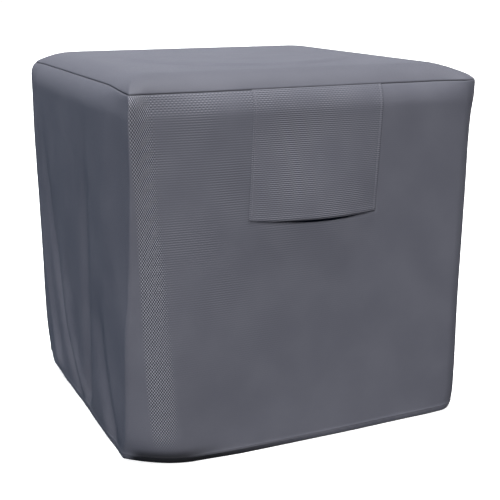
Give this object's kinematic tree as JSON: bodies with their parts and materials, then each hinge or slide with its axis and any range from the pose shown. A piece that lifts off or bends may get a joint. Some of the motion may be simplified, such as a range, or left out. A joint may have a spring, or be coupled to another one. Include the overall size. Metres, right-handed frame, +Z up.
{
  "type": "air conditioner cover",
  "caption": "Fitted grey cloth cover for a square outdoor air conditioner, open at the hem, with a vent flap on its front and soft leaning folds on one side.",
  "frame": {"origin": "on the ground under the middle of the cover, level with its hem", "axes": "+Z up; the side with the vent flap faces -Y, and the folded side faces -X"},
  "size_m": [0.8805, 0.8842, 0.8694],
  "materials": {
    "cover_cloth": "matte coated polyester weave, dark grey with a blue cast"
  },
  "bodies": {
    "root": {"top_panel": "cover_cloth", "wall": "cover_cloth", "vent_flap": "cover_cloth"}
  },
  "joints": []
}
